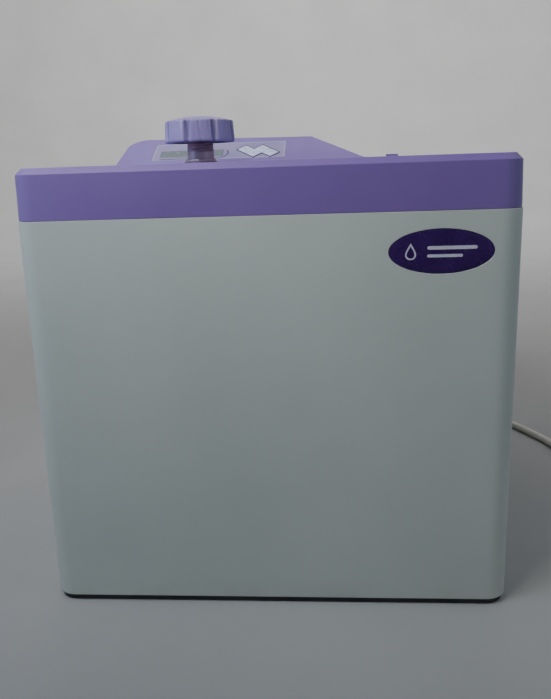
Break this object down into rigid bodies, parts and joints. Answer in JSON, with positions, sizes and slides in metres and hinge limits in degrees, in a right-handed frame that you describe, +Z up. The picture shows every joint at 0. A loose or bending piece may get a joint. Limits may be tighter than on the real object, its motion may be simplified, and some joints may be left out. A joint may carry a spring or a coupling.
{
  "type": "benchtop steam steriliser",
  "caption": "Bench steam steriliser: square casing, thick hinged front door clamped by a lobed knob on top, sloped console behind it, round pressure chamber inside.",
  "frame": {"origin": "middle of the footprint, on the surface the feet stand on", "axes": "+X to the right seen from the front, +Y to the back, +Z up"},
  "size_m": [0.7595, 0.6187, 0.46],
  "materials": {
    "casing_grey": "light warm grey, fine satin texture",
    "cover_purple": "muted violet, fine satin texture",
    "knob_purple": "grey violet moulding, worn edges",
    "label_lilac": "pale lilac printed overlay",
    "badge_indigo": "deep indigo gloss",
    "key_white": "pale satin keys",
    "lcd": "grey green display window",
    "black_plastic": "black moulded plastic",
    "rubber": "black rubber",
    "stainless": "brushed stainless",
    "dark_steel": "oiled steel",
    "zinc_plate": "zinc plated steel",
    "brass": "machined brass",
    "copper": "drawn copper tube",
    "silicone": "translucent silicone",
    "insulation": "mineral felt",
    "tank_plastic": "milky plastic",
    "circuit_board": "green circuit board",
    "red_plastic": "red plastic",
    "cord_pvc": "off-white PVC"
  },
  "bodies": {
    "cabinet": {"base_pan": "black_plastic", "foot_1": "rubber", "foot_2": "rubber", "foot_3": "rubber", "foot_4": "rubber", "side_panel_left": "casing_grey", "side_panel_right": "casing_grey", "front_frame": "casing_grey", "rear_panel": "casing_grey", "wall_spacer": "black_plastic", "top_cover": "cover_purple", "console_label": "label_lilac", "lcd_window": "lcd", "display_board": "circuit_board", "hinge_bracket_upper": "stainless", "hinge_bracket_lower": "stainless", "water_tank": "tank_plastic", "chamber_vessel": "stainless", "chamber_flange": "stainless", "band_heater": "dark_steel", "insulation_jacket": "insulation", "chamber_cradle": "zinc_plate", "tray_rack": "stainless", "tray_lower": "stainless", "tray_upper": "stainless", "transformer": "dark_steel", "main_board": "circuit_board", "water_pump": "black_plastic", "valve_manifold": "brass", "condenser_coil": "copper", "fan_frame": "black_plastic", "mains_switch": "black_plastic", "fuse_holder": "black_plastic", "cord_gland": "black_plastic", "drain_cock": "brass", "safety_valve": "brass", "mains_cord": "cord_pvc", "cord_coil": "cord_pvc", "mains_plug": "cord_pvc"},
    "door": {"door_shell": "casing_grey", "door_cap": "cover_purple", "door_liner": "casing_grey", "door_badge": "badge_indigo", "door_carrier": "zinc_plate", "chamber_lid": "stainless", "lid_gasket": "silicone", "spindle_nut": "brass", "stem_washer": "stainless"},
    "lock": {"lock_plate": "zinc_plate"},
    "knob": {"door_knob": "knob_purple", "lock_spindle": "dark_steel"},
    "key_a": {"key_1": "key_white"},
    "key_b": {"key_2": "key_white"},
    "key_c": {"key_3": "key_white"},
    "key_d": {"key_4": "key_white"},
    "fan": {"fan_rotor": "black_plastic"},
    "filler_lid": {"tank_lid": "cover_purple"},
    "power_rocker": {"mains_rocker": "red_plastic"},
    "drain_handle": {"drain_lever": "red_plastic"},
    "relief_lever": {"safety_valve_lever": "stainless"}
  },
  "joints": [
    {"name": "door_swing", "type": "hinge", "parent": "cabinet", "child": "door", "pos_m": [0.2085, -0.202, 0.205], "axis": [0, 0, 1], "range_deg": [0, 100]},
    {"name": "lock_slide", "type": "slide", "parent": "door", "child": "lock", "axis": [0, 0, 1], "range_m": [-0.012, 0]},
    {"name": "knob_spin", "type": "hinge", "parent": "lock", "child": "knob", "pos_m": [-0.0574, -0.238, 0.4], "axis": [0, 0, 1], "range_deg": [-1080, 0]},
    {"name": "key_1_press", "type": "slide", "parent": "cabinet", "child": "key_a", "axis": [0, 0.454, -0.891], "range_m": [0, 0.0005], "stiffness_N_per_m": 1500},
    {"name": "key_2_press", "type": "slide", "parent": "cabinet", "child": "key_b", "axis": [0, 0.454, -0.891], "range_m": [0, 0.0005], "stiffness_N_per_m": 1500},
    {"name": "key_3_press", "type": "slide", "parent": "cabinet", "child": "key_c", "axis": [0, 0.454, -0.891], "range_m": [0, 0.0005], "stiffness_N_per_m": 1500},
    {"name": "key_4_press", "type": "slide", "parent": "cabinet", "child": "key_d", "axis": [0, 0.454, -0.891], "range_m": [0, 0.0005], "stiffness_N_per_m": 1500},
    {"name": "fan_spin", "type": "hinge", "parent": "cabinet", "child": "fan", "pos_m": [-0.165, 0.243, 0.062], "axis": [0, 1, 0], "continuous": true},
    {"name": "tank_lid_hinge", "type": "hinge", "parent": "cabinet", "child": "filler_lid", "pos_m": [0.13, 0.096, 0.4171], "axis": [-1, 0, 0], "range_deg": [0, 95]},
    {"name": "mains_rocker_tilt", "type": "hinge", "parent": "cabinet", "child": "power_rocker", "pos_m": [0.12, 0.257, 0.06], "axis": [1, 0, 0], "range_deg": [0, 24]},
    {"name": "drain_turn", "type": "hinge", "parent": "cabinet", "child": "drain_handle", "pos_m": [-0.04, 0.266, 0.052], "axis": [0, 0, 1], "range_deg": [0, 90]},
    {"name": "relief_lift", "type": "hinge", "parent": "cabinet", "child": "relief_lever", "pos_m": [0.07, 0.264, 0.346], "axis": [1, 0, 0], "range_deg": [0, 30], "stiffness_Nm_per_rad": 0.2}
  ],
  "couplings": [
    {"joint": "knob_spin", "follows": "lock_slide", "rad_per_m": 1570.8}
  ]
}
